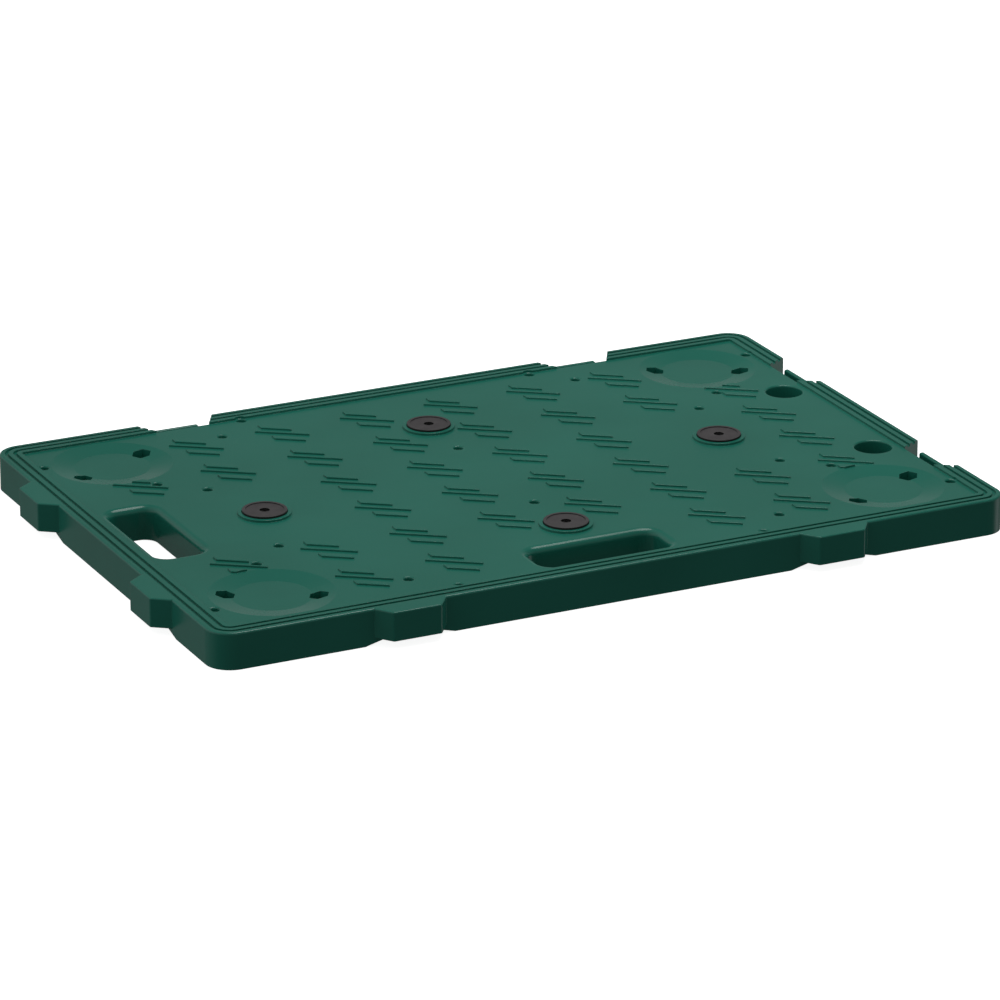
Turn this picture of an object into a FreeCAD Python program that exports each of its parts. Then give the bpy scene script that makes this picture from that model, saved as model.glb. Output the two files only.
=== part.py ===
"""Interlocking plastic pallet deck, 600 x 400 mm.

One injection moulding (top skin, stepped rim, underside ribs, edge lugs and
sockets) carries four screwed-on rubber pads.  Units are millimetres, +Z is up,
X runs along the long side and the underside of the moulding lies at Z = 0.
"""
import math
import os

import FreeCAD
import Part

V = FreeCAD.Vector

# Overall body
BODY_X = 600.0
BODY_Y = 400.0
CORNER_R = 18.0
DECK_Z = 24.4
RIM_Z = 26.0
EDGE_R = 1.5

# Wall thicknesses
SKIN_T = 4.0
SKIRT_T = 4.0
RIB_T = 3.0
CELLS_X = 12
CELLS_Y = 8

# Rim: three ridges parted by two grooves, measured inward from the outer face
RIM_W = 16.0
RIM_GROOVES = ((3.7, 6.4), (9.7, 12.4))

# Male lugs (front and left) and female sockets (rear and right)
LINK_X = 160.0
LINK_Y = 100.0
LUG_ROOT = 52.5
LUG_TIP = 34.8
LUG_REACH = 12.0
LUG_BOTTOM = 5.4
LUG_WALL = 2.6
LUG_ROOF = 3.0
LUG_OVERLAP = 3.0
LUG_TOP_R = 1.0
LUG_CORNER_R = 2.2
RELIEF_MOUTH = 66.0
RELIEF_TOP = 34.0
RELIEF_H = 4.0
NOTCH_OUTER = 59.0
NOTCH_INNER = 41.0
NOTCH_WALL = 3.5
NOTCH_FLOOR = 4.5
TONGUE_LEN = 33.0
TONGUE_T = 3.4
TONGUE_INSET = 2.8
TONGUE_TOP = 21.6
TONGUE_R = 1.6

# Caster wells in the four corners, each with two bolt pockets
WELL_X = 233.0
WELL_Y = 139.0
WELL_R = 43.0
WELL_FLOOR_R = 27.0
WELL_DEPTH = 2.6
BOLT_DX = 28.0
BOLT_DY = 14.0
BOLT_HOLE_R = 4.5
BOLT_HEX_AF = 12.4
BOLT_HEX_DEPTH = 6.0
BOLT_BOSS_R = 11.0

# Round sockets for a push handle
SOCKET_X = 266.0
SOCKET_Y = 66.0
SOCKET_R = 13.3
SOCKET_WALL = 3.6
SOCKET_LIP_R = 1.4

# Hand holes
HAND_LEN = 98.0
HAND_W = 35.0
HAND_R = 10.0
HAND_LIP_R = 5.0
HAND_WALL = 3.6
HAND_FRONT_Y = -159.5
HAND_LEFT_X = -258.5

# Anti-slip treads: groups of three slanting bars on a regular grid
TREAD_PITCH_X = 200.0 / 3.0
TREAD_PITCH_Y = 57.0
TREAD_H = 1.3
TREAD_EDGE_R = 0.5
TREAD_SLOPE = -0.70
TREAD_SHIFT_X = -0.8
TREAD_SHIFT_Y = -0.5
SHORT_BAR_HALF = 9.1
SHORT_BAR_W = 6.2
LONG_BAR_HALF = 16.2
LONG_BAR_W = 2.2
UPPER_BAR_Y = 9.9
LOWER_BAR_Y = -14.9

# Blind dimples in the top face
DIMPLE_R = 3.4
DIMPLE_LIP_R = 1.3
DIMPLE_DEPTH = 2.6
DIMPLES = ((280.0, 151.0), (141.0, 156.5), (115.5, 181.5), (221.0, 86.0), (193.5, 61.0))
DIMPLE_MID_Y = 61.0

# Rubber pads on raised rings, held by one screw each
PAD_X = 177.0
PAD_Y = 110.0
PAD_R = 15.75
PAD_T = 3.2
PAD_BEVEL = 0.25
PAD_DISH_R = 13.5
PAD_DISH_DEPTH = 0.6
PAD_RECESS_R = 3.6
PAD_RECESS_DEPTH = 2.6
PAD_HOLE_R = 2.2
RING_R = 18.75
RING_GAP = 0.25
RING_H = 1.7
RING_EDGE_R = 0.35
WASHER_R = 3.45
WASHER_T = 0.5
HEAD_R = 2.9
HEAD_H = 0.9
HEAD_EDGE_R = 0.5
CROSS_LEN = 3.2
CROSS_W = 0.8
CROSS_DEPTH = 0.6
SHANK_R = 1.9
SHANK_LEN = 12.0
SHANK_TIP = 0.95
PILOT_R = 2.0
PILOT_DEPTH = 13.0
PILOT_BOSS_R = 5.5
PILOT_BOSS_BOTTOM = 8.0

# Overlap for cuts and joins, and the tolerance for picking edges
EPS = 1.0
TINY = 0.01


def prism(points, z0, z1):
    """Upright prism over a closed polygon."""
    corners = [V(x, y, z0) for x, y in points]
    corners.append(corners[0])
    face = Part.Face(Part.makePolygon(corners))
    return face.extrude(V(0, 0, z1 - z0))


def disc(x, y, radius, z0, z1):
    """Upright cylinder between two heights."""
    return Part.makeCylinder(radius, z1 - z0, V(x, y, z0))


def box(x0, x1, y0, y1, z0, z1):
    """Axis-aligned box between two corners."""
    return Part.makeBox(x1 - x0, y1 - y0, z1 - z0, V(x0, y0, z0))


def vertical_edges(shape):
    """Edges of a shape that run straight up."""
    found = []
    for edge in shape.Edges:
        bounds = edge.BoundBox
        if bounds.ZLength > TINY and bounds.XLength < TINY and bounds.YLength < TINY:
            found.append(edge)
    return found


def edges_at_height(shape, height):
    """Edges of a shape that lie flat at one height."""
    found = []
    for edge in shape.Edges:
        bounds = edge.BoundBox
        if abs(bounds.ZMin - height) < TINY and abs(bounds.ZMax - height) < TINY:
            found.append(edge)
    return found


def within(edge, length, width, x, y):
    """True if an edge lies inside a rectangle centred on (x, y)."""
    bounds = edge.BoundBox
    reach_x = max(abs(bounds.XMin - x), abs(bounds.XMax - x))
    reach_y = max(abs(bounds.YMin - y), abs(bounds.YMax - y))
    return reach_x < length / 2 + TINY and reach_y < width / 2 + TINY


def rounded_prism(length, width, radius, z0, z1, x=0.0, y=0.0):
    """Box with rounded upright corners, centred on (x, y)."""
    block = box(x - length / 2, x + length / 2, y - width / 2, y + width / 2, z0, z1)
    return block.makeFillet(radius, vertical_edges(block))


def outline(inset, z0, z1):
    """The body outline moved inward by an inset."""
    return rounded_prism(BODY_X - 2 * inset, BODY_Y - 2 * inset, CORNER_R - inset, z0, z1)


def four_corners(x, y):
    """The four mirrored copies of a point."""
    return [(sx * x, sy * y) for sx in (-1, 1) for sy in (-1, 1)]


def edge_sites(outward):
    """Placements of the links on the front and left (-1) or rear and right (+1)."""
    sites = []
    for side in (-1, 1):
        angle = 180.0 if outward < 0 else 0.0
        sites.append((side * LINK_X, outward * BODY_Y / 2, angle))
        angle = 90.0 if outward < 0 else -90.0
        sites.append((outward * BODY_X / 2, side * LINK_Y, angle))
    return sites


def place(shape, site):
    """Copy a shape modelled at the origin, outward along +Y, onto an edge site."""
    x, y, angle = site
    moved = shape.copy()
    moved.rotate(V(0, 0, 0), V(0, 0, 1), angle)
    moved.translate(V(x, y, 0))
    return moved


# ---- Rim and top skin -------------------------------------------------------

def body_blank():
    """Solid body with the rounded top edge, the sunken deck and the rim grooves."""
    blank = outline(0.0, 0.0, RIM_Z)
    blank = blank.makeFillet(EDGE_R, edges_at_height(blank, RIM_Z))
    blank = blank.cut(outline(RIM_W, DECK_Z, RIM_Z + EPS))
    for start, end in RIM_GROOVES:
        groove = outline(start, DECK_Z, RIM_Z + EPS)
        groove = groove.cut(outline(end, DECK_Z - EPS, RIM_Z + 2 * EPS))
        blank = blank.cut(groove)
    return blank


# ---- Interlocking edge ------------------------------------------------------

def lug_outline(wall):
    """Tapered lug plan, thinned by a wall thickness, outward along +Y."""
    taper = (LUG_ROOT - LUG_TIP) / 2 / LUG_REACH
    tip_y = LUG_REACH - wall
    root_half = LUG_ROOT / 2 - wall * math.hypot(1.0, taper)
    tip_half = root_half - taper * tip_y
    return [(-root_half, 0.0), (root_half, 0.0), (tip_half, tip_y), (-tip_half, tip_y)]


def lug():
    """Male lug with softened top edges and outer corners."""
    solid = prism(lug_outline(0.0), LUG_BOTTOM, RIM_Z)
    root = box(-LUG_ROOT / 2, LUG_ROOT / 2, -LUG_OVERLAP, 0.0, LUG_BOTTOM, RIM_Z)
    solid = solid.fuse(root).removeSplitter()
    corners = []
    for edge in vertical_edges(solid):
        if edge.CenterOfMass.y > LUG_REACH - TINY:
            corners.append(edge)
    solid = solid.makeFillet(LUG_CORNER_R, corners)
    top = []
    for edge in edges_at_height(solid, RIM_Z):
        if edge.CenterOfMass.y > TINY:
            top.append(edge)
    return solid.makeFillet(LUG_TOP_R, top)


def lug_cavity():
    """Space under the lug roof that takes the tongue of the next board."""
    return prism(lug_outline(LUG_WALL), LUG_BOTTOM - EPS, RIM_Z - LUG_ROOF)


def skirt_relief():
    """Shallow slope-sided opening in the skirt below a lug."""
    foot = RELIEF_MOUTH / 2
    top = RELIEF_TOP / 2
    profile = [(-foot, -EPS), (foot, -EPS), (foot, 0.0), (top, RELIEF_H), (-top, RELIEF_H), (-foot, 0.0)]
    corners = [V(x, EPS, z) for x, z in profile]
    corners.append(corners[0])
    face = Part.Face(Part.makePolygon(corners))
    return face.extrude(V(0, -SKIRT_T - EPS, 0))


def notch_outline(wall, overrun):
    """Plan of the female notch, grown by a wall thickness, open along +Y."""
    taper = (NOTCH_OUTER - NOTCH_INNER) / 2 / RIM_W
    shift = wall * math.hypot(1.0, taper)
    outer_half = NOTCH_OUTER / 2 + shift + taper * overrun
    inner_half = NOTCH_INNER / 2 + shift - taper * wall
    return [
        (-outer_half, overrun),
        (-inner_half, -RIM_W - wall),
        (inner_half, -RIM_W - wall),
        (outer_half, overrun),
    ]


def notch():
    """Space of the female notch above its floor web."""
    return prism(notch_outline(0.0, EPS), NOTCH_FLOOR, RIM_Z + EPS)


def tongue():
    """Upright tongue that a neighbouring lug drops over."""
    outer = -TONGUE_INSET
    inner = outer - TONGUE_T
    plate = box(-TONGUE_LEN / 2, TONGUE_LEN / 2, inner, outer, NOTCH_FLOOR - EPS, TONGUE_TOP)
    return plate.makeFillet(TONGUE_R, edges_at_height(plate, TONGUE_TOP))


# ---- Caster wells and handle sockets ----------------------------------------

def bolt_centres(x, y):
    """The two bolt positions of the well centred on (x, y)."""
    slant = 1 if x * y > 0 else -1
    return [(x + s * BOLT_DX, y - s * slant * BOLT_DY) for s in (-1, 1)]


def well_space(x, y):
    """Dished recess with two hexagonal head pockets and bolt holes."""
    floor_z = DECK_Z - WELL_DEPTH
    dish = Part.makeCone(WELL_FLOOR_R, WELL_R, WELL_DEPTH, V(x, y, floor_z))
    space = dish.fuse(disc(x, y, WELL_R, DECK_Z, RIM_Z + TREAD_H))
    for bx, by in bolt_centres(x, y):
        space = space.fuse(hexagon(bx, by, floor_z - BOLT_HEX_DEPTH, DECK_Z))
        space = space.fuse(disc(bx, by, BOLT_HOLE_R, -EPS, floor_z))
    return space


def hexagon(x, y, z0, z1):
    """Hexagonal prism with two corners pointing along X."""
    corner_r = BOLT_HEX_AF / math.sqrt(3.0)
    points = []
    for k in range(6):
        angle = math.radians(60.0 * k)
        points.append((x + corner_r * math.cos(angle), y + corner_r * math.sin(angle)))
    return prism(points, z0, z1)


def flared_bore(x, y, radius, lip_r, bottom):
    """Round hole in the deck whose top edge is rounded outward."""
    start = DECK_Z - lip_r
    outer = radius + lip_r
    clear = RIM_Z + TREAD_H
    diagonal = lip_r * math.sqrt(0.5)
    rim = Part.Arc(V(radius, 0, start), V(outer - diagonal, 0, start + diagonal), V(outer, 0, DECK_Z))
    corners = [V(outer, 0, DECK_Z), V(outer, 0, clear), V(0, 0, clear), V(0, 0, bottom),
               V(radius, 0, bottom), V(radius, 0, start)]
    edges = [rim.toShape()]
    for first, second in zip(corners, corners[1:]):
        edges.append(Part.LineSegment(first, second).toShape())
    profile = Part.Face(Part.Wire(edges))
    bore = profile.revolve(V(0, 0, 0), V(0, 0, 1), 360.0)
    bore.translate(V(x, y, 0))
    return bore


# ---- Hand holes -------------------------------------------------------------

def hand_hole(length, width, x, y):
    """Through opening whose top edge flares outward on a generous radius."""
    flare_z = DECK_Z - HAND_LIP_R
    mouth_length = length + 2 * HAND_LIP_R
    mouth_width = width + 2 * HAND_LIP_R
    mouth_r = HAND_R + HAND_LIP_R
    mouth = rounded_prism(mouth_length, mouth_width, mouth_r, flare_z, DECK_Z + EPS, x, y)
    collar = rounded_prism(mouth_length + 2 * EPS, mouth_width + 2 * EPS, mouth_r + EPS,
                           flare_z, DECK_Z, x, y)
    shaft = rounded_prism(length, width, HAND_R, -EPS, DECK_Z + EPS, x, y)
    collar = collar.cut(shaft)
    inner_top = []
    for edge in edges_at_height(collar, DECK_Z):
        if within(edge, length, width, x, y):
            inner_top.append(edge)
    collar = collar.makeFillet(HAND_LIP_R - TINY, inner_top)
    return mouth.cut(collar).fuse(shaft)


def hand_holes():
    """Length, width and centre of each hand hole."""
    return [
        (HAND_LEN, HAND_W, 0.0, HAND_FRONT_Y),
        (HAND_W, HAND_LEN, HAND_LEFT_X, 0.0),
    ]


# ---- Treads, dimples and pad rings ------------------------------------------

def bar(points):
    """Raised tread bar with a rounded top edge."""
    solid = prism(points, DECK_Z - EPS, DECK_Z + TREAD_H)
    return solid.makeFillet(TREAD_EDGE_R, edges_at_height(solid, DECK_Z + TREAD_H))


def short_bar(base_y):
    """Wide slanting bar with both ends cut square to X."""
    half = SHORT_BAR_HALF
    left_y = base_y - TREAD_SLOPE * half
    right_y = base_y + TREAD_SLOPE * half
    return bar([
        (-half, left_y),
        (half, right_y),
        (half, right_y + SHORT_BAR_W),
        (-half, left_y + SHORT_BAR_W),
    ])


def long_bar():
    """Longer, narrower slanting bar with ends cut square to its own length."""
    half = LONG_BAR_HALF
    norm = math.hypot(1.0, TREAD_SLOPE)
    across = LONG_BAR_W / norm
    dx = -TREAD_SLOPE / norm * across
    dy = across / norm
    left_y = -TREAD_SLOPE * half
    return bar([(-half, left_y), (half, -left_y), (half + dx, dy - left_y), (dx - half, dy + left_y)])


def tread_centres():
    """Grid positions that carry a tread group, clear of wells, pads and openings."""
    rows_by_column = {
        -3.5: (-1.5, 1.5),
        -2.5: (-2.5, -1.5, 1.5, 2.5),
        -1.5: (-2.5, -1.5, -0.5, 0.5, 1.5, 2.5),
        -0.5: (-1.5, -0.5, 0.5, 1.5, 2.5),
        0.5: (-1.5, -0.5, 0.5, 1.5, 2.5),
        1.5: (-2.5, -1.5, -0.5, 0.5, 1.5, 2.5),
        2.5: (-2.5, -1.5, 1.5, 2.5),
        3.5: (-1.5, -0.5, 0.5, 1.5),
    }
    centres = []
    for column, rows in rows_by_column.items():
        for row in rows:
            centres.append((column * TREAD_PITCH_X + TREAD_SHIFT_X, row * TREAD_PITCH_Y + TREAD_SHIFT_Y))
    return centres


def treads():
    """All tread bars as one list of solids."""
    group = [short_bar(UPPER_BAR_Y), long_bar(), short_bar(LOWER_BAR_Y)]
    bars = []
    for x, y in tread_centres():
        for pattern in group:
            copy = pattern.copy()
            copy.translate(V(x, y, 0))
            bars.append(copy)
    return bars


def dimple_centres():
    """Positions of the blind dimples."""
    centres = []
    for x, y in DIMPLES:
        centres.extend(four_corners(x, y))
    centres.append((0.0, -DIMPLE_MID_Y))
    centres.append((0.0, DIMPLE_MID_Y))
    return centres


def pad_sites():
    """Name and centre of each rubber pad."""
    return [
        ("front", 0.0, -PAD_Y),
        ("rear", 0.0, PAD_Y),
        ("left", -PAD_X, 0.0),
        ("right", PAD_X, 0.0),
    ]


def pad_ring(x, y):
    """Raised ring that locates a pad."""
    ring = disc(x, y, RING_R, DECK_Z - EPS, DECK_Z + RING_H)
    ring = ring.makeFillet(RING_EDGE_R, edges_at_height(ring, DECK_Z + RING_H))
    return ring.cut(disc(x, y, PAD_R + RING_GAP, DECK_Z, DECK_Z + 2 * RING_H))


# ---- Underside --------------------------------------------------------------

def solid_zones():
    """Regions the underside pockets must leave standing."""
    zones = []
    for x, y in four_corners(WELL_X, WELL_Y):
        well_bottom = DECK_Z - WELL_DEPTH - SKIN_T
        zones.append(disc(x, y, WELL_R + SKIN_T, well_bottom, DECK_Z))
        for bx, by in bolt_centres(x, y):
            zones.append(disc(bx, by, BOLT_BOSS_R, -EPS, DECK_Z))
    for side in (-1, 1):
        zones.append(disc(SOCKET_X, side * SOCKET_Y, SOCKET_R + SOCKET_WALL, -EPS, DECK_Z))
    for length, width, x, y in hand_holes():
        grown = 2 * HAND_WALL
        zones.append(rounded_prism(length + grown, width + grown, HAND_R + HAND_WALL,
                                   -EPS, DECK_Z, x, y))
        flare = 2 * (HAND_LIP_R + HAND_WALL)
        zones.append(rounded_prism(length + flare, width + flare, HAND_R + HAND_LIP_R,
                                   DECK_Z - HAND_LIP_R - SKIN_T, DECK_Z, x, y))
    for site in edge_sites(1):
        zones.append(place(prism(notch_outline(NOTCH_WALL, EPS), -EPS, DECK_Z), site))
    for _, x, y in pad_sites():
        zones.append(disc(x, y, PILOT_BOSS_R, PILOT_BOSS_BOTTOM, DECK_Z))
    return zones


def rib_pockets():
    """Pockets between the underside ribs, trimmed round every solid zone."""
    span_x = BODY_X - 2 * SKIRT_T
    span_y = BODY_Y - 2 * SKIRT_T
    pitch_x = (span_x + RIB_T) / CELLS_X
    pitch_y = (span_y + RIB_T) / CELLS_Y
    cells = []
    for i in range(CELLS_X):
        x0 = -span_x / 2 + i * pitch_x
        for j in range(CELLS_Y):
            y0 = -span_y / 2 + j * pitch_y
            cells.append(box(x0, x0 + pitch_x - RIB_T, y0, y0 + pitch_y - RIB_T,
                             -EPS, DECK_Z - SKIN_T))
    pockets = Part.makeCompound(cells).common(outline(SKIRT_T, -EPS, DECK_Z))
    return pockets.cut(solid_zones())


# ---- The moulding -----------------------------------------------------------

def build_deck():
    """Whole moulding as one solid."""
    raised = treads()
    for _, x, y in pad_sites():
        raised.append(pad_ring(x, y))
    for site in edge_sites(-1):
        raised.append(place(lug(), site))
    deck = body_blank().cut([place(notch(), site) for site in edge_sites(1)])
    for site in edge_sites(1):
        raised.append(place(tongue(), site))
    deck = deck.fuse(raised)

    removed = [rib_pockets()]
    for x, y in four_corners(WELL_X, WELL_Y):
        removed.append(well_space(x, y))
    for side in (-1, 1):
        removed.append(flared_bore(SOCKET_X, side * SOCKET_Y, SOCKET_R, SOCKET_LIP_R, -EPS))
    for length, width, x, y in hand_holes():
        removed.append(hand_hole(length, width, x, y))
    for x, y in dimple_centres():
        removed.append(flared_bore(x, y, DIMPLE_R, DIMPLE_LIP_R, DECK_Z - DIMPLE_DEPTH))
    for _, x, y in pad_sites():
        removed.append(disc(x, y, PILOT_R, DECK_Z - PILOT_DEPTH, DECK_Z + EPS))
    for site in edge_sites(-1):
        removed.append(place(lug_cavity(), site))
        removed.append(place(skirt_relief(), site))
    return deck.cut(removed).removeSplitter()


# ---- Pads and their fixings -------------------------------------------------

def build_pad(x, y):
    """Rubber disc with a raised, bevelled rim and a screw recess."""
    top = DECK_Z + PAD_T
    pad = disc(x, y, PAD_R, DECK_Z, top)
    pad = pad.makeChamfer(PAD_BEVEL, edges_at_height(pad, top))
    pad = pad.cut(disc(x, y, PAD_DISH_R, top - PAD_DISH_DEPTH, top + EPS))
    pad = pad.cut(disc(x, y, PAD_RECESS_R, top - PAD_RECESS_DEPTH, top + EPS))
    return pad.cut(disc(x, y, PAD_HOLE_R, DECK_Z - EPS, top))


def build_washer(x, y):
    """Flat steel washer on the floor of the pad recess."""
    seat = DECK_Z + PAD_T - PAD_RECESS_DEPTH
    washer = disc(x, y, WASHER_R, seat, seat + WASHER_T)
    return washer.cut(disc(x, y, PAD_HOLE_R, seat - EPS, seat + EPS))


def build_screw(x, y):
    """Pan-head screw with a cross recess, driven into the deck boss."""
    under_head = DECK_Z + PAD_T - PAD_RECESS_DEPTH + WASHER_T
    top = under_head + HEAD_H
    head = disc(x, y, HEAD_R, under_head, top)
    head = head.makeFillet(HEAD_EDGE_R, edges_at_height(head, top))
    half_len = CROSS_LEN / 2
    half_w = CROSS_W / 2
    cut_z = top - CROSS_DEPTH
    head = head.cut(box(x - half_len, x + half_len, y - half_w, y + half_w, cut_z, top + EPS))
    head = head.cut(box(x - half_w, x + half_w, y - half_len, y + half_len, cut_z, top + EPS))
    shank = disc(x, y, SHANK_R, under_head - SHANK_LEN, under_head)
    shank = shank.makeChamfer(SHANK_TIP, edges_at_height(shank, under_head - SHANK_LEN))
    return head.fuse(shank).removeSplitter()


def main():
    """Build every node and write one STEP file for each."""
    os.makedirs("parts", exist_ok=True)
    shapes = {"deck": build_deck()}
    for name, x, y in pad_sites():
        shapes["pad_" + name] = build_pad(x, y)
        shapes["pad_washer_" + name] = build_washer(x, y)
        shapes["pad_screw_" + name] = build_screw(x, y)
    for name, shape in shapes.items():
        print(name, "solids", len(shape.Solids), "valid", shape.isValid(),
              "volume cm3", round(shape.Volume / 1000.0, 2))
        shape.exportStep("parts/" + name + ".step")


main()
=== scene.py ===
"""Looks of the interlocking plastic pallet deck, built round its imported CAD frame."""

import math

import bpy
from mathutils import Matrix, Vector


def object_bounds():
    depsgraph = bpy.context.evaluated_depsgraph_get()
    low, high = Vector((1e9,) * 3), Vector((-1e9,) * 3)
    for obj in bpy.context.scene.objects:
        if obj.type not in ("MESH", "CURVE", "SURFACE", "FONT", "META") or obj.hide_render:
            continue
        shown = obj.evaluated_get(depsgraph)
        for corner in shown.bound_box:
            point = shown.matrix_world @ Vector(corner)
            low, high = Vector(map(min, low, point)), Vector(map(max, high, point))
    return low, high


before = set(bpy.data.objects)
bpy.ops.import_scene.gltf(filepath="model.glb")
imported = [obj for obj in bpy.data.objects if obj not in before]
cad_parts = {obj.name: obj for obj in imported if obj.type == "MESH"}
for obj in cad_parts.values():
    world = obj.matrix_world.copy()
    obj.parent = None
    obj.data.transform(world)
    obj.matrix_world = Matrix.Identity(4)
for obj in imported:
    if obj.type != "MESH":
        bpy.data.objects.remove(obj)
CAD_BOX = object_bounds()

# Camera: heading is measured from +Y towards +X, and pitch is downwards
CAMERA_HEADING = math.radians(25.983)
CAMERA_PITCH = math.radians(20.410)
CAMERA_DISTANCE = 4.0242
CAMERA_TARGET = Vector((-0.02055, -0.04889, 0.025))
CAMERA_LENS = 209.16
CAMERA_SENSOR = 36.0
CAMERA_FAR = 60.0

FLOOR_HALF = 12.0
FLOOR_DROP = 0.0002

# Linear base colours
DECK_GREEN = (0.018, 0.205, 0.148)
DECK_GREEN_DEEP = (0.015, 0.185, 0.132)
# Pale edge colour of the deck: painted highlight along sharp edges, partly wear
DECK_SCUFF_AND_HIGHLIGHT = (0.110, 0.340, 0.270)
RUBBER_DARK = (0.056, 0.051, 0.053)
RUBBER_DUSTY = (0.080, 0.074, 0.076)
# Paler colour along the pads' sharp edges
RUBBER_EDGE_PALE = (0.150, 0.150, 0.150)
# Near-black colour of the pads' upright side walls: painted shade
RUBBER_SIDE_SHADE = (0.006, 0.006, 0.006)
STEEL = (0.030, 0.030, 0.032)
BLACK_STEEL = (0.012, 0.012, 0.013)
FLOOR_WHITE = (0.90, 0.90, 0.90)
FLOOR_GLOW = 0.90

# Smallest and largest roughness of each finish
DECK_ROUGH = (0.19, 0.27)
RUBBER_ROUGH = (0.52, 0.66)
WASHER_ROUGH = (0.30, 0.42)
SCREW_ROUGH = (0.35, 0.47)
FLOOR_ROUGH = (0.85, 0.95)

# Radius, in metres, over which sharp edges look rounded
PLASTIC_EDGE = 0.0004
STEEL_EDGE = 0.00015

# Share of the paler colour along sharp edges: on the deck a painted highlight that also stands for
# wear, on the pads a plain paler edge
DECK_WEAR_AND_HIGHLIGHT = 0.35
RUBBER_EDGE_SHARE = 0.6

# Studio surround: (height, level) stops, then where each panel faces, how far it spreads, how bright
FRONT_LIGHT = ((-1.0, 0.06), (-0.3, 0.06), (0.0, 0.14), (0.2, 0.26), (0.5, 0.15), (1.0, 0.10))
SWEEP_LIGHT = (
    (-1.0, 0.10), (-0.35, 0.17), (-0.10, 0.27), (0.10, 0.27), (0.35, 0.15), (0.7, 0.10), (1.0, 0.10),
)
SWEEP_SIDE = (0.6, 0.8, 0.0)
SWEEP_SPREAD = (-0.2, 0.6)
CARD_SIDE = (0.93, -0.10, -0.35)
CARD_LIGHT = 0.45
CARD_SPREAD = (0.95, 0.99)
FILL_SIDE = (-0.80, 0.35, 0.49)
FILL_LIGHT = 0.37
FILL_SPREAD = (0.50, 0.95)

# Lamp above the deck: metres and watts
SOFTBOX_PLACE = Vector((0.27, 0.05, 1.40))
SOFTBOX_SIZE = 1.0
SOFTBOX_POWER = 9.0


# ---- Node helpers -----------------------------------------------------------

def new_material(name):
    """Empty node material with its shader and object coordinates ready."""
    material = bpy.data.materials.new(name)
    material.use_nodes = True
    tree = material.node_tree
    tree.nodes.clear()
    output = tree.nodes.new("ShaderNodeOutputMaterial")
    shader = tree.nodes.new("ShaderNodeBsdfPrincipled")
    tree.links.new(shader.outputs["BSDF"], output.inputs["Surface"])
    place = tree.nodes.new("ShaderNodeTexCoord").outputs["Object"]
    return material, tree, shader, place


def noise(tree, place, scale, detail=2.0, roughness=0.5):
    """Noise over object coordinates, scale in cycles per metre."""
    node = tree.nodes.new("ShaderNodeTexNoise")
    node.inputs["Scale"].default_value = scale
    node.inputs["Detail"].default_value = detail
    node.inputs["Roughness"].default_value = roughness
    tree.links.new(place, node.inputs["Vector"])
    return node.outputs["Fac"]


def remap(tree, value, low, high, to_low, to_high):
    """Stretch a value range onto another, clamped at both ends."""
    node = tree.nodes.new("ShaderNodeMapRange")
    node.inputs["From Min"].default_value = low
    node.inputs["From Max"].default_value = high
    node.inputs["To Min"].default_value = to_low
    node.inputs["To Max"].default_value = to_high
    tree.links.new(value, node.inputs["Value"])
    return node.outputs["Result"]


def mix_colour(tree, factor, first, second):
    """Blend two colours, each a constant or another node's output."""
    node = tree.nodes.new("ShaderNodeMix")
    node.data_type = "RGBA"
    tree.links.new(factor, node.inputs["Factor"])
    for socket, colour in ((node.inputs[6], first), (node.inputs[7], second)):
        if isinstance(colour, tuple):
            socket.default_value = colour + (1.0,)
        else:
            tree.links.new(colour, socket)
    return node.outputs[2]


def maths(tree, operation, first, second):
    """One maths node; the second value is a number or an output."""
    node = tree.nodes.new("ShaderNodeMath")
    node.operation = operation
    tree.links.new(first, node.inputs[0])
    if isinstance(second, (int, float)):
        node.inputs[1].default_value = second
    else:
        tree.links.new(second, node.inputs[1])
    return node.outputs[0]


def bump(tree, height, distance, strength, normal=None):
    """Bump in metres, laid over another normal if one is given."""
    node = tree.nodes.new("ShaderNodeBump")
    node.inputs["Distance"].default_value = distance
    node.inputs["Strength"].default_value = strength
    tree.links.new(height, node.inputs["Height"])
    if normal is not None:
        tree.links.new(normal, node.inputs["Normal"])
    return node.outputs["Normal"]


def soft_edges(tree, radius):
    """Normal rounded over sharp edges, and a mask that is 1 along them."""
    bevel = tree.nodes.new("ShaderNodeBevel")
    bevel.samples = 4
    bevel.inputs["Radius"].default_value = radius
    geometry = tree.nodes.new("ShaderNodeNewGeometry")
    dot = tree.nodes.new("ShaderNodeVectorMath")
    dot.operation = "DOT_PRODUCT"
    tree.links.new(bevel.outputs["Normal"], dot.inputs[0])
    tree.links.new(geometry.outputs["Normal"], dot.inputs[1])
    mask = remap(tree, dot.outputs["Value"], 0.97, 0.80, 0.0, 1.0)
    return bevel.outputs["Normal"], mask


def upward(tree):
    """One on faces that look up, none on upright walls."""
    split = tree.nodes.new("ShaderNodeSeparateXYZ")
    tree.links.new(tree.nodes.new("ShaderNodeNewGeometry").outputs["Normal"], split.inputs[0])
    return remap(tree, split.outputs["Z"], 0.25, 0.80, 0.0, 1.0)


# ---- Materials --------------------------------------------------------------

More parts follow.
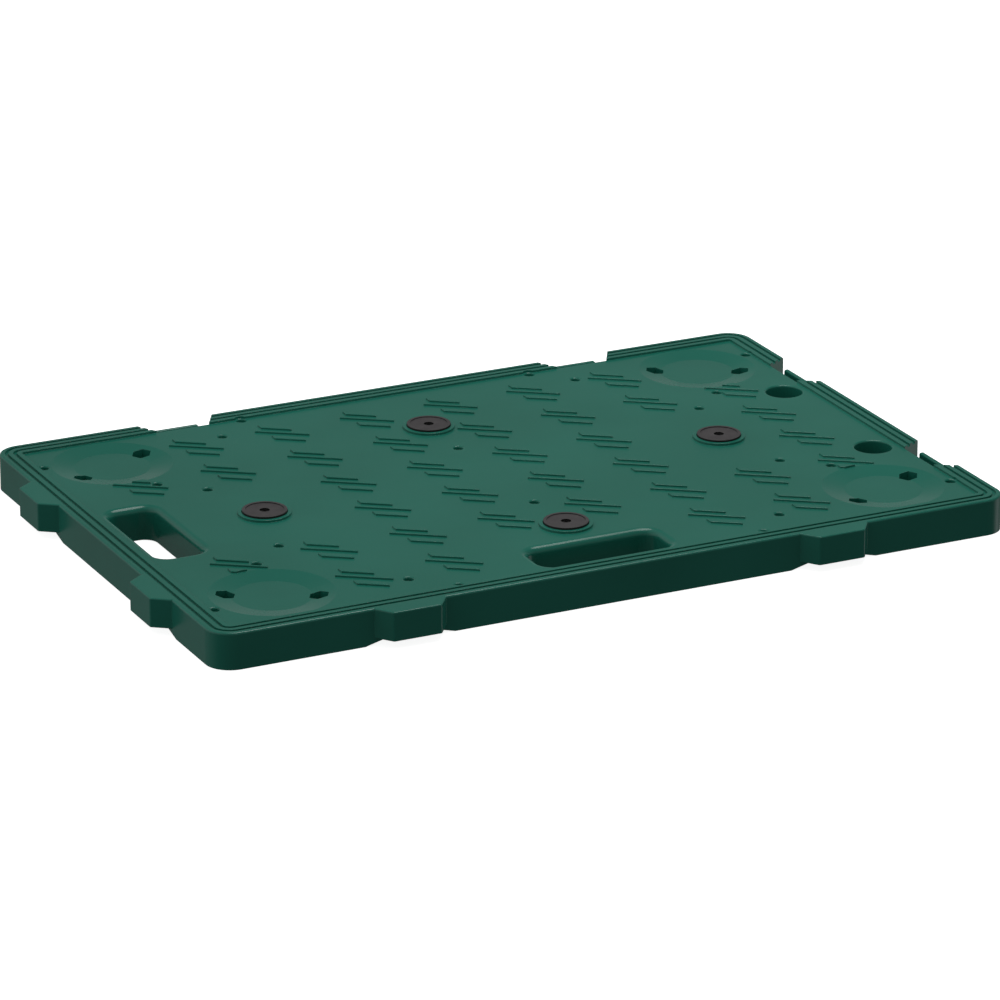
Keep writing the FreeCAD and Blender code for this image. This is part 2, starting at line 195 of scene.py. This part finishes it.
def deck_material():
    """Green moulded plastic: fine grain, slow colour drift, and pale edges that are a painted
    highlight and partly wear.
    """
    material, tree, shader, place = new_material("deck_plastic")
    rounded, edge = soft_edges(tree, PLASTIC_EDGE)
    drift = remap(tree, noise(tree, place, 9.0, 3.0), 0.35, 0.65, 0.0, 1.0)
    colour = mix_colour(tree, drift, DECK_GREEN, DECK_GREEN_DEEP)
    patchy = remap(tree, noise(tree, place, 60.0, 4.0), 0.35, 0.75, 0.0, 1.0)
    # Painted highlight along sharp edges, partly wear: edges turn paler in patches
    worn_and_highlight = maths(tree, "MULTIPLY", maths(tree, "MULTIPLY", edge, patchy), DECK_WEAR_AND_HIGHLIGHT)
    colour = mix_colour(tree, worn_and_highlight, colour, DECK_SCUFF_AND_HIGHLIGHT)
    tree.links.new(colour, shader.inputs["Base Color"])
    sheen_drift = noise(tree, place, 22.0, 3.0)
    tree.links.new(remap(tree, sheen_drift, 0.3, 0.7, *DECK_ROUGH), shader.inputs["Roughness"])
    grain = bump(tree, noise(tree, place, 1800.0, 2.0), 0.00003, 0.35, rounded)
    wave = bump(tree, noise(tree, place, 14.0, 1.0), 0.0012, 0.30, grain)
    tree.links.new(wave, shader.inputs["Normal"])
    shader.inputs["IOR"].default_value = 1.49
    shader.inputs["Specular IOR Level"].default_value = 0.45
    return material


def rubber_material():
    """Dusty black rubber with a fine pebbled surface, paler along sharp edges, and painted shade
    that makes the upright side walls near black.
    """
    material, tree, shader, place = new_material("pad_rubber")
    rounded, edge = soft_edges(tree, PLASTIC_EDGE)
    dust = remap(tree, noise(tree, place, 160.0, 5.0, 0.6), 0.35, 0.70, 0.0, 1.0)
    colour = mix_colour(tree, dust, RUBBER_DARK, RUBBER_DUSTY)
    # Sharp pad edges turn paler
    colour = mix_colour(tree, maths(tree, "MULTIPLY", edge, RUBBER_EDGE_SHARE), colour, RUBBER_EDGE_PALE)
    # Painted shade: upright side walls turn near black, faces looking up keep the rubber colour
    colour = mix_colour(tree, upward(tree), RUBBER_SIDE_SHADE, colour)
    tree.links.new(colour, shader.inputs["Base Color"])
    tree.links.new(remap(tree, dust, 0.0, 1.0, *RUBBER_ROUGH), shader.inputs["Roughness"])
    pebble = bump(tree, noise(tree, place, 2200.0, 2.0), 0.00004, 0.5, rounded)
    tree.links.new(pebble, shader.inputs["Normal"])
    shader.inputs["IOR"].default_value = 1.5
    return material


def steel_material(name, colour, rough):
    """Plated steel with faint blotches and brushed roughness."""
    material, tree, shader, place = new_material(name)
    blotch = noise(tree, place, 900.0, 3.0)
    darker = tuple(channel * 0.7 for channel in colour)
    tree.links.new(mix_colour(tree, blotch, colour, darker), shader.inputs["Base Color"])
    tree.links.new(remap(tree, blotch, 0.3, 0.7, *rough), shader.inputs["Roughness"])
    rounded = soft_edges(tree, STEEL_EDGE)[0]
    tree.links.new(bump(tree, blotch, 0.00002, 0.3, rounded), shader.inputs["Normal"])
    shader.inputs["Metallic"].default_value = 1.0
    return material


def floor_material():
    """Plain pale studio floor with a barely visible mottle."""
    material, tree, shader, place = new_material("studio_floor")
    mottle = noise(tree, place, 3.0, 2.0)
    shade = tuple(channel * 0.985 for channel in FLOOR_WHITE)
    tree.links.new(mix_colour(tree, mottle, FLOOR_WHITE, shade), shader.inputs["Base Color"])
    tree.links.new(remap(tree, mottle, 0.0, 1.0, *FLOOR_ROUGH), shader.inputs["Roughness"])
    shader.inputs["Specular IOR Level"].default_value = 0.0
    shader.inputs["Emission Color"].default_value = (1.0, 1.0, 1.0, 1.0)
    shader.inputs["Emission Strength"].default_value = FLOOR_GLOW
    return material


def dress_nodes():
    """Give every CAD node its finished material."""
    finishes = {
        "deck": deck_material(),
        "pad": rubber_material(),
        "pad_washer": steel_material("washer_steel", STEEL, WASHER_ROUGH),
        "pad_screw": steel_material("screw_steel", BLACK_STEEL, SCREW_ROUGH),
    }
    for name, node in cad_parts.items():
        kind = name if name == "deck" else name.rsplit("_", 1)[0]
        node.data.materials.clear()
        node.data.materials.append(finishes[kind])


# ---- Studio -----------------------------------------------------------------

def build_floor():
    """Large plane under the deck, left out of the bounced light."""
    half = FLOOR_HALF
    mesh = bpy.data.meshes.new("floor")
    corners = [(-half, -half, 0.0), (half, -half, 0.0), (half, half, 0.0), (-half, half, 0.0)]
    mesh.from_pydata(corners, [], [(0, 1, 2, 3)])
    floor = bpy.data.objects.new("floor", mesh)
    bpy.context.scene.collection.objects.link(floor)
    floor.location.z = CAD_BOX[0][2] - FLOOR_DROP
    floor.visible_diffuse = False
    floor.visible_glossy = False
    mesh.materials.append(floor_material())


def add_softbox():
    """Large round lamp above and right of the middle, aimed at the origin."""
    data = bpy.data.lights.new("softbox", "AREA")
    data.shape = "DISK"
    data.size = SOFTBOX_SIZE
    data.energy = SOFTBOX_POWER
    light = bpy.data.objects.new("softbox", data)
    light.location = SOFTBOX_PLACE
    light.rotation_euler = SOFTBOX_PLACE.to_track_quat("Z", "Y").to_euler()
    bpy.context.scene.collection.objects.link(light)


def brightness_by_height(tree, height, stops):
    """Brightness read from (height, level) stops, height running from -1 to 1."""
    ramp = tree.nodes.new("ShaderNodeValToRGB")
    elements = ramp.color_ramp.elements
    while len(elements) < len(stops):
        elements.new(0.5)
    for element, (z, level) in zip(elements, stops):
        element.position = (z + 1.0) / 2.0
        element.color = (level, level, level, 1.0)
    tree.links.new(remap(tree, height, -1.0, 1.0, 0.0, 1.0), ramp.inputs["Fac"])
    return ramp.outputs["Color"]


def facing(tree, place, towards, spread, level):
    """Level that rises from zero as a direction turns towards a given one."""
    dot = tree.nodes.new("ShaderNodeVectorMath")
    dot.operation = "DOT_PRODUCT"
    dot.inputs[1].default_value = towards
    tree.links.new(place, dot.inputs[0])
    return remap(tree, dot.outputs["Value"], spread[0], spread[1], 0.0, level)


def build_world():
    """Studio surround: pale sweep behind, dark front, a card at the right, a fill at the left."""
    world = bpy.data.worlds.new("studio")
    world.use_nodes = True
    tree = world.node_tree
    back = tree.nodes["Background"]
    place = tree.nodes.new("ShaderNodeTexCoord").outputs["Generated"]
    split = tree.nodes.new("ShaderNodeSeparateXYZ")
    tree.links.new(place, split.inputs["Vector"])
    height = split.outputs["Z"]
    front = brightness_by_height(tree, height, FRONT_LIGHT)
    sweep = brightness_by_height(tree, height, SWEEP_LIGHT)
    rearward = facing(tree, place, SWEEP_SIDE, SWEEP_SPREAD, 1.0)
    total = mix_colour(tree, rearward, front, sweep)
    panels = ((CARD_SIDE, CARD_SPREAD, CARD_LIGHT), (FILL_SIDE, FILL_SPREAD, FILL_LIGHT))
    for side, spread, level in panels:
        adding = tree.nodes.new("ShaderNodeVectorMath")
        adding.operation = "ADD"
        tree.links.new(total, adding.inputs[0])
        tree.links.new(facing(tree, place, side, spread, level), adding.inputs[1])
        total = adding.outputs["Vector"]
    tree.links.new(total, back.inputs["Color"])
    bpy.context.scene.world = world


def build_camera():
    """Long-lens camera looking down across the near corner of the deck."""
    data = bpy.data.cameras.new("camera")
    data.lens = CAMERA_LENS
    data.sensor_width = CAMERA_SENSOR
    data.clip_end = CAMERA_FAR
    camera = bpy.data.objects.new("camera", data)
    flat = math.cos(CAMERA_PITCH)
    forward = Vector((
        math.sin(CAMERA_HEADING) * flat,
        math.cos(CAMERA_HEADING) * flat,
        -math.sin(CAMERA_PITCH),
    ))
    camera.location = CAMERA_TARGET - forward * CAMERA_DISTANCE
    camera.rotation_euler = (math.pi / 2 - CAMERA_PITCH, 0.0, -CAMERA_HEADING)
    bpy.context.scene.collection.objects.link(camera)
    bpy.context.scene.camera = camera


dress_nodes()
build_floor()
build_world()
add_softbox()
build_camera()
bpy.context.scene.view_settings.view_transform = "Standard"
